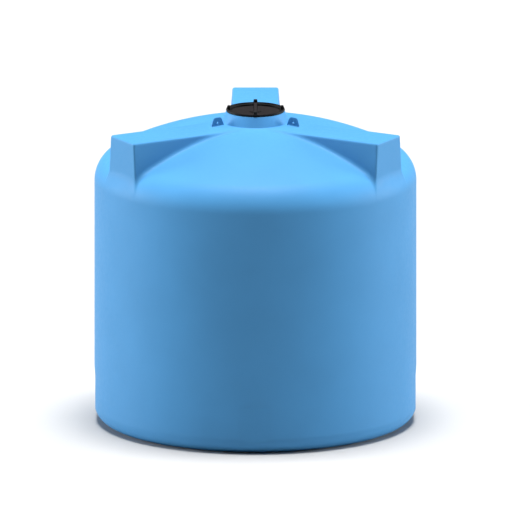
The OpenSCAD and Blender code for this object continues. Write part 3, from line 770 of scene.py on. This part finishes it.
def lid_gasket():
    """A flat seal with two beads on its underside."""
    low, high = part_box("lid_gasket")
    inner_r, outer_r, web, ease = GROOVE_R[0] + 0.4 * MM, high.x, low.z + 1.5 * MM, 0.8 * MM
    corners = [(outer_r, web, ease), (outer_r, high.z, ease), (inner_r, high.z, ease), (inner_r, web, ease)]
    for r in (206.6 * MM, 211.4 * MM):
        corners += [(r - 1.8 * MM, web, 0.6 * MM), (r, low.z - 0.4 * MM, 1.6 * MM),
                    (r + 1.8 * MM, web, 0.6 * MM)]
    verts, faces = machined(corners, 192)
    verts[:, 2] = np.maximum(verts[:, 2], low.z)
    piece("lid_seal", verts, faces, "gasket", "seal_rubber", ["lid_gasket"], soft_angle=50)


def vent_cap():
    """A low cap on four posts, with a bar to turn it by that carries on the lid's bar."""
    low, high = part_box("vent_cap")
    cap_r, top = high.x, FLOOR_TOP + 10 * MM
    skirt_z, wall = FLOOR_TOP + 3 * MM, 3 * MM
    post_at, post_r = 26 * MM, 3 * MM

    def sdf(x, y, z):
        r = np.hypot(x, y)
        crown = z - top - 0.6 * MM + 1.6 * r * r
        whole = soft_max(soft_max(r - cap_r, crown, 7 * MM), skirt_z - z, 1 * MM)
        inside = np.maximum(r - cap_r + wall, z - top + wall + 0.4 * MM)
        cup = soft_max(whole, -inside, 1 * MM)
        bar_side = np.abs(x) - BAR_HALF_W + 0.06 * (z - high.z)
        bar = soft_max(bar_side, slab(z, top - 2 * MM, high.z), 4 * MM)
        cup = soft_min(cup, soft_max(bar, r - cap_r, 3 * MM), 3 * MM)
        along, across = fold(x, y, 45, 4)
        post = np.hypot(along - post_at, across) - post_r
        post = np.maximum(post, slab(z, low.z + 0.1 * MM, top - 1 * MM))
        return soft_min(cup, post, 1.5 * MM)

    reach = cap_r + 4 * MM
    verts, faces, normals = surface_net(sdf, (-reach, -reach, low.z - 3 * MM),
                                        (reach, reach, high.z + 3 * MM), 1.1 * MM)
    piece("vent_hood", verts, faces, "lid", "lid_plastic", ["vent_cap"], normals)


def vent_tube():
    """Threaded tube through the lid, with a flange on the dish floor."""
    low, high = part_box("vent_body")
    r, bore = 20 * MM, 15 * MM
    corners = [(bore, low.z, 0.8 * MM), (r, low.z, 1 * MM), (r, FLOOR_TOP, 0.3 * MM),
               (high.x, FLOOR_TOP, 0.4 * MM), (high.x, high.z, 1 * MM), (bore, high.z, 0.8 * MM)]
    thread = (low.z + 1 * MM, FLOOR_TOP - 4 * MM, r, 2 * MM, 0.9 * MM)
    verts, faces = machined(corners, threads=[thread])
    piece("vent_tube", verts, faces, "lid", "black_fitting", ["vent_body"], soft_angle=35)


def hex_nut(name, node, body, slot, bore, corner_r, z0, z1, place=None):
    """A hexagon nut with chamfered corners and a countersunk bore."""
    height = z1 - z0
    chamfer, sink = 0.13 * corner_r, 0.06 * corner_r
    corners = [(corner_r - chamfer, z0, 0), (corner_r, z0 + 0.45 * chamfer, 0),
               (corner_r, z1 - 0.45 * chamfer, 0), (corner_r - chamfer, z1, 0),
               (bore + sink, z1, 0.2 * sink), (bore, z1 - min(sink, 0.3 * height), 0.2 * sink),
               (bore, z0 + min(sink, 0.3 * height), 0.2 * sink), (bore + sink, z0, 0.2 * sink)]
    verts, faces = machined(corners, hexes=[(z0, z1, corner_r)])
    if place is not None:
        verts = place(verts)
    piece(name, verts, faces, body, slot, [node], soft_angle=28)


# ---------------------------------------------------------------- rear fittings

SEAL_T = 4 * MM
INSIDE = 34 * MM
HEX_TOP = 24 * MM
SPIGOT_TOP = 46 * MM


def axis_of(node):
    """Centre of a round fitting in X and Z, and the Y of the face that its seal sits on."""
    low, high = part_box(node)
    return (0.5 * (low.x + high.x), low.y, 0.5 * (low.z + high.z))


def bulkhead(prefix, thread_r, bore_r):
    """Threaded spigot, hexagon, flange, seal and locknut along one axis."""
    centre = axis_of(prefix + "_seal")

    def place(verts):
        return to_rear(verts, centre)

    body_r, flange_r, corner_r = thread_r + 4 * MM, thread_r + 26 * MM, thread_r + 10 * MM
    flange_top = SEAL_T + 8 * MM
    corners = [(body_r - 1.5 * MM, -INSIDE, 0.5 * MM), (body_r, -INSIDE + 2 * MM, 0),
               (body_r, SEAL_T, 0.5 * MM), (flange_r, SEAL_T, 1 * MM), (flange_r, flange_top, 3 * MM),
               (corner_r, flange_top, 1.2 * MM), (corner_r, HEX_TOP - 2 * MM, 0),
               (corner_r - 4 * MM, HEX_TOP, 0.4 * MM), (thread_r, HEX_TOP, 0.8 * MM),
               (thread_r, SPIGOT_TOP - 2 * MM, 0.5 * MM), (thread_r - 2 * MM, SPIGOT_TOP, 0.6 * MM),
               (bore_r, SPIGOT_TOP, 1.2 * MM), (bore_r, -INSIDE, 1.2 * MM)]
    threads = [(-INSIDE + 1 * MM, 0.0, body_r, 3 * MM, 1.1 * MM),
               (HEX_TOP + 1 * MM, SPIGOT_TOP - 1 * MM, thread_r, 2.3 * MM, 1.2 * MM)]
    verts, faces = machined(corners, 120, [(flange_top + 0.5 * MM, HEX_TOP, corner_r)], threads)
    piece(prefix + "_spigot", place(verts), faces, "tank", "black_fitting", [prefix + "_fitting"],
          soft_angle=35)
    r0, r1 = body_r + 0.3 * MM, thread_r + 22 * MM
    verts, faces = machined([(r1, 0, 1 * MM), (r1, SEAL_T, 1 * MM), (r0, SEAL_T, 0.6 * MM),
                             (r0, 0, 0.6 * MM)], 120)
    piece(prefix + "_ring", place(verts), faces, "tank", "seal_rubber", [prefix + "_seal"],
          soft_angle=50)
    hex_nut(prefix + "_backnut", prefix + "_locknut", "tank", "black_fitting", body_r + 0.1 * MM,
            body_r + 18 * MM, -WALL - 14 * MM, -WALL, place)


# Along the outlet valve's pipe, measured from the seal's face.
BALL_AT = 84 * MM
VALVE_HEX = (25 * MM, 50 * MM)
SOCKET_END = 47 * MM
CHAMBER_FROM = 58 * MM
MOUTH_FROM = 110 * MM
CASTING_END = 117.8 * MM
TAIL_HEX_END = 132 * MM
TAIL_END = 158 * MM
BONNET_TOP = 64 * MM
PIPE_THREAD_R = 29.8 * MM
WAY_R = 24 * MM


def casting_sdf(x, y, z):
    """Valve body along its pipe axis z, with the stem towards -y."""
    r = np.hypot(x, y)
    from_stem = np.hypot(x, z - BALL_AT)
    flat, _ = fold(x, y, 30, 6)
    flats = np.maximum(slab(z, *VALVE_HEX), flat - 35.5 * MM)
    collar = soft_max(flats, soft_max(r - 40.5 * MM, slab(z, *VALVE_HEX), 2 * MM), 2 * MM)
    belly = np.hypot(r, 0.62 * (z - BALL_AT)) - 45.6 * MM
    barrel = soft_max(np.minimum(belly, r - 41 * MM), slab(z, SOCKET_END, CASTING_END), 3 * MM)
    end_ring = soft_max(r - 45.6 * MM, slab(z, 104 * MM, CASTING_END), 2.5 * MM)
    barrel = soft_min(barrel, end_ring, 6 * MM)
    neck = soft_max(from_stem - 14.5 * MM, slab(-y, 0, BONNET_TOP), 1.5 * MM)
    lip = soft_max(from_stem - 17.8 * MM, slab(-y, BONNET_TOP - 12 * MM, BONNET_TOP), 2 * MM)
    whole = soft_min(soft_min(collar, barrel, 5 * MM), soft_min(neck, lip, 4 * MM), 9 * MM)
    socket = np.maximum(r - PIPE_THREAD_R - 0.1 * MM, z - SOCKET_END)
    chamber = np.maximum(r - 36 * MM, CHAMBER_FROM - z)
    mouth = np.maximum(r - 39 * MM, MOUTH_FROM - z)
    way = np.minimum(np.minimum(socket, r - WAY_R), np.minimum(chamber, mouth))
    stem = np.maximum(from_stem - 8.05 * MM, y)
    packing = np.maximum(from_stem - 13 * MM, BONNET_TOP - 8 * MM + y)
    return soft_max(whole, -np.minimum(way, np.minimum(stem, packing)), 1 * MM)


def valve_tail(place):
    """Plug that closes the casting, with a hexagon and the outlet's thread."""
    plug_r, corner_r, thread_r = 38.9 * MM, 46 * MM, PIPE_THREAD_R
    hex_from = 118.2 * MM
    corners = [(plug_r, MOUTH_FROM, 0.8 * MM), (plug_r, 118 * MM, 0), (corner_r, hex_from, 0.6 * MM),
               (corner_r, TAIL_HEX_END - 2 * MM, 0),
               (corner_r - 4.5 * MM, TAIL_HEX_END, 0.6 * MM), (thread_r, TAIL_HEX_END, 1 * MM),
               (thread_r, TAIL_END - 1.5 * MM, 0.4 * MM), (thread_r - 1.5 * MM, TAIL_END, 0.5 * MM),
               (WAY_R, TAIL_END, 1.4 * MM), (WAY_R, MOUTH_FROM, 1 * MM)]
    thread = (TAIL_HEX_END + 2 * MM, TAIL_END - 1 * MM, thread_r, 2.3 * MM, 1.2 * MM)
    verts, faces = machined(corners, 120, [(hex_from - 0.1 * MM, TAIL_HEX_END, corner_r)], [thread])
    piece("valve_tail", place(verts), faces, "tank", "brass", ["valve_tailpiece"], soft_angle=35)


def ball_valve():
    """Cast valve body, threaded tailpiece, gland nut, bent lever, vinyl sleeve and nut."""
    centre = axis_of("outlet_seal")
    stem_centre = (centre[0], centre[1] + BALL_AT, centre[2])

    def place(verts):
        return to_rear(verts, centre)

    def upright(verts):
        return np.asarray(verts) + stem_centre

    verts, faces, normals = surface_net(casting_sdf, (-50 * MM, -69 * MM, 20 * MM),
                                        (50 * MM, 50 * MM, 122 * MM), 1.45 * MM)
    piece("valve_casting", place(verts), faces, "tank", "brass", ["valve_body"],
          to_rear(normals, (0, 0, 0)))
    valve_tail(place)
    hex_nut("gland_ring", "gland_nut", "tank", "brass", 8.3 * MM, 20 * MM,
            BONNET_TOP, BONNET_TOP + 11 * MM, upright)
    lever_z = BONNET_TOP + 13 * MM
    hex_nut("lever_top_nut", "lever_nut", "valve_lever", "steel", 4.8 * MM, 10 * MM,
            lever_z + 4 * MM, lever_z + 12 * MM, upright)
    lever(upright, lever_z)


def swept(path, half_w, half_t, steps=6):
    """A strip with rounded corners along (x, z) points: half_w and half_t for each point."""
    verts, faces = [], []
    path = np.array(path)
    tangent = np.gradient(path, axis=0)
    tangent /= np.linalg.norm(tangent, axis=1)[:, None]
    turn = np.linspace(0, 2 * math.pi, 4 * steps, endpoint=False)
    for (x, z), (tx, tz), w, t in zip(path, tangent, half_w, half_t):
        corner = min(w, t) * 0.72
        across = np.sign(np.cos(turn)) * (w - corner) + corner * np.cos(turn)
        up = np.sign(np.sin(turn + 1e-9)) * (t - corner) + corner * np.sin(turn)
        verts += [(x - tz * u, a, z + tx * u) for a, u in zip(across, up)]
    n = len(turn)
    for k in range(len(path) - 1):
        faces += [(k * n + i, k * n + (i + 1) % n, (k + 1) * n + (i + 1) % n, (k + 1) * n + i)
                  for i in range(n)]
    faces.append(tuple(range(n))[::-1])
    faces.append(tuple((len(path) - 1) * n + i for i in range(n)))
    return verts, [f[::-1] for f in faces]


def lever(upright, lever_z):
    """Steel strip, bent up over the stem, and the ribbed vinyl sleeve on its outer part."""
    half_w, half_t, rise = 12.8 * MM, 1.95 * MM, 20 * MM
    length, grip_from = 170 * MM, 72 * MM
    x = np.concatenate([np.linspace(-19.8, 18, 20), np.linspace(19, 64, 40),
                        np.linspace(66, 169.8, 50)]) * MM
    bend = np.clip((x - 25 * MM) / (32 * MM), 0, 1)
    smooth = bend * bend * (3 - 2 * bend)
    z = lever_z + 2 * MM + rise * smooth
    from_end = np.minimum(length - x, x + 20 * MM)
    taper = np.sqrt(np.clip(1 - np.clip(1 - from_end / half_w, 0, 1) ** 2, 0.02, 1))
    waist = 1 - 0.16 * np.exp(-((x - 42 * MM) / (16 * MM)) ** 2)
    verts, faces = swept(np.stack([x, z], 1), half_w * taper * waist, np.full(len(x), half_t))
    piece("lever_strip", upright(verts), faces, "valve_lever", "steel", ["valve_lever"], soft_angle=40)
    x = np.linspace(grip_from + 0.1 * MM, length + 2.4 * MM, 110)
    from_end = np.minimum(length + 2.5 * MM - x, (x - grip_from) * 3 + 3 * MM)
    full_w, full_t = 15.4 * MM, 4.4 * MM
    end_w = np.sqrt(np.clip(1 - np.clip(1 - from_end / full_w, 0, 1) ** 2, 0.01, 1))
    end_t = np.sqrt(np.clip(1 - np.clip(1 - from_end / full_t, 0, 1) ** 2, 0.04, 1))
    ribs = 1 - 0.09 * (0.5 - 0.5 * np.cos((x - grip_from) / (9.5 * MM) * 2 * math.pi))
    path = np.stack([x, np.full(len(x), lever_z + rise + 2 * MM)], 1)
    verts, faces = swept(path, full_w * end_w * (1 - (1 - ribs) * 0.6), full_t * end_t * ribs)
    piece("lever_sleeve", upright(verts), faces, "valve_lever", "grip_vinyl", ["lever_grip"],
          soft_angle=50)


def float_moulding():
    """Two half shells with a seam, and the boss that the arm screws into."""
    joint = next(j for j in frame["record"]["behaviour"]["joints"] if j["name"] == "float_swing")
    pivot = np.array(joint["pos_m"])
    ball_r, arm, bore_r, socket_depth = 60 * MM, 420 * MM, 4 * MM, 30 * MM
    boss_r, boss_h, boss_edge = 11 * MM, 8 * MM, 1.5 * MM
    swing = math.radians(joint["range_deg"][1])
    profile = arc(0, 0, ball_r, -90, -1.6, 33)
    profile[0] = (0.0, -ball_r)
    profile += [(ball_r - 0.9 * MM, -0.7 * MM), (ball_r - 0.9 * MM, 0.7 * MM)]
    profile += arc(0, 0, ball_r, 1.6, 78, 31)
    profile += arc(boss_r - boss_edge, ball_r + boss_h - boss_edge, boss_edge, 0, 90, 4)
    profile += [(bore_r, ball_r + boss_h), (bore_r, ball_r - socket_depth), (0.0, ball_r - socket_depth)]
    verts, faces = turned(profile, 96)
    verts = np.asarray(verts) - (0, 0, arm)
    c, s = math.cos(swing), math.sin(swing)
    x, y, z = verts.T
    tilted = np.stack([x, c * y - s * z, s * y + c * z], 1)
    piece("float_shell", to_rear(tilted, pivot), faces, "float_arm", "float_plastic", ["float_ball"],
          soft_angle=35)


tank_moulding()
for side_name, lug_angle in zip(("rear", "left", "right"), LUG_ANGLES):
    lifting_eye(side_name + "_eye_moulding", side_name + "_lifting_eye", lug_angle)
neck_teeth()
lid()
lid_gasket()
vent_cap()
vent_tube()
hex_nut("vent_backnut", "vent_nut", "lid", "black_fitting", 20.1 * MM, 31 * MM,
        DISH_FOOT - 9 * MM, DISH_FOOT)
bulkhead("inlet", 20.9 * MM, 13 * MM)
bulkhead("overflow", 29.8 * MM, 23 * MM)
bulkhead("outlet", 29.8 * MM, 23 * MM)
ball_valve()
float_moulding()


# ---------------------------------------------------------------- stage, light and camera

def stage_floor():
    """A wide pale floor."""
    half = 30.0
    mesh = bpy.data.meshes.new("floor")
    mesh.from_pydata([(-half, -half, 0), (half, -half, 0), (half, half, 0), (-half, half, 0)],
                     [], [(0, 1, 2, 3)])
    obj = bpy.data.objects.new("floor", mesh)
    bpy.context.scene.collection.objects.link(obj)
    n = Nodes("floor_paint")
    color = n.ramp(n.noise(0.6), [(0.3, (0.455, 0.455, 0.455)), (0.7, (0.47, 0.47, 0.47))])
    mesh.materials.append(n.finish(color, 0.9, n.bump(n.noise(40.0), 0.0001)))


def light(name, energy, direction, spread):
    """A wide, distant lamp that shines from a direction."""
    data = bpy.data.lights.new(name, "SUN")
    data.energy = energy
    data.angle = spread
    obj = bpy.data.objects.new(name, data)
    away = Vector(direction).normalized()
    obj.location = away * 8.0
    obj.rotation_euler = away.to_track_quat("Z", "Y").to_euler()
    bpy.context.scene.collection.objects.link(obj)


def studio():
    """A broad light overhead and a softer one on each side, a little behind the object."""
    world = bpy.data.worlds.new("studio")
    bpy.context.scene.world = world
    world.use_nodes = True
    world.node_tree.nodes["Background"].inputs["Color"].default_value = (1, 1, 1, 1)
    world.node_tree.nodes["Background"].inputs["Strength"].default_value = 0.02
    light("top", 6.3, (0.02, 0.0, 1.0), 0.5)
    light("left", 3.7, (-1.0, 0.20, 0.12), 0.55)
    light("right", 3.3, (1.0, 0.20, 0.12), 0.55)
    bpy.context.scene.view_settings.view_transform = "Standard"


def camera():
    """Studio view from straight in front, a little above, without perspective."""
    elevation = math.radians(13.1)
    view_width = 4.0
    target = Vector((0.072, 0.0, 1.192))
    data = bpy.data.cameras.new("camera")
    data.type = "ORTHO"
    data.ortho_scale = view_width
    obj = bpy.data.objects.new("camera", data)
    away = Vector((0, -math.cos(elevation), math.sin(elevation)))
    obj.location = target + away * 9.0
    obj.rotation_euler = away.to_track_quat("Z", "Y").to_euler()
    bpy.context.scene.collection.objects.link(obj)
    bpy.context.scene.camera = obj


stage_floor()
studio()
camera()

for name, node in frame["nodes"].items():
    slot = next(s["material_slot"] for s in frame["record"]["subparts"] if s["node"] == name)
    node.data.materials.clear()
    node.data.materials.append(MATERIALS[slot])
